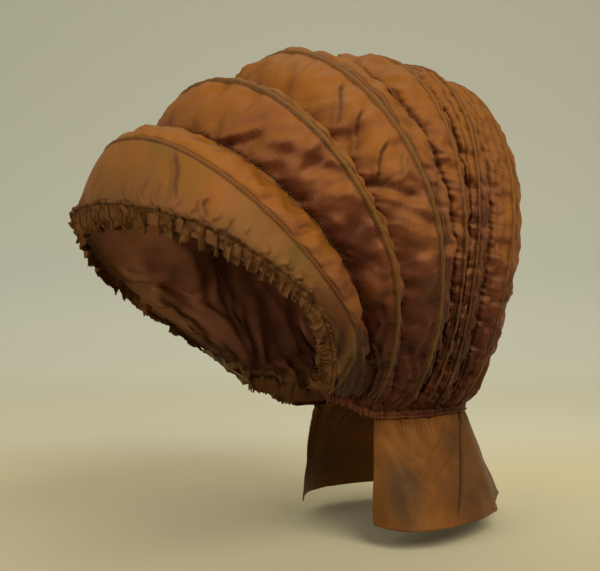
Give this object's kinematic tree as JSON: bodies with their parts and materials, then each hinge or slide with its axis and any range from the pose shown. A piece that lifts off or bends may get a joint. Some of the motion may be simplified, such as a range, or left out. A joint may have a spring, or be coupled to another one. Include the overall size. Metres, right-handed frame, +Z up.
{
  "type": "calash hood",
  "caption": "Tall folding hood of brown silk on arched cane hoops, with a frilled face edge, a plain lining and a short neck curtain.",
  "frame": {"origin": "middle of the neck opening, where the hood sits round the wearer's neck", "axes": "+Z up, -Y the way the wearer faces, +X the wearer's left"},
  "size_m": [0.304, 0.4634, 0.4483],
  "materials": {
    "silk": "shot silk, soft sheen",
    "brim_silk": "shot silk, soft sheen",
    "frill_silk": "pinked silk, matt",
    "lining_silk": "thin silk, soft sheen",
    "curtain_silk": "shot silk, soft sheen",
    "cane": "plain"
  },
  "bodies": {
    "root": {"brim_panel": "brim_silk", "silk_panel_1": "silk", "silk_panel_2": "silk", "silk_panel_3": "silk", "silk_panel_4": "silk", "back_panel": "silk", "cane_1": "cane", "cane_2": "cane", "cane_3": "cane", "cane_4": "cane", "cane_5": "cane", "cane_6": "cane", "lining": "lining_silk", "face_frill": "frill_silk", "neckband": "silk", "neck_curtain": "curtain_silk"}
  },
  "joints": []
}
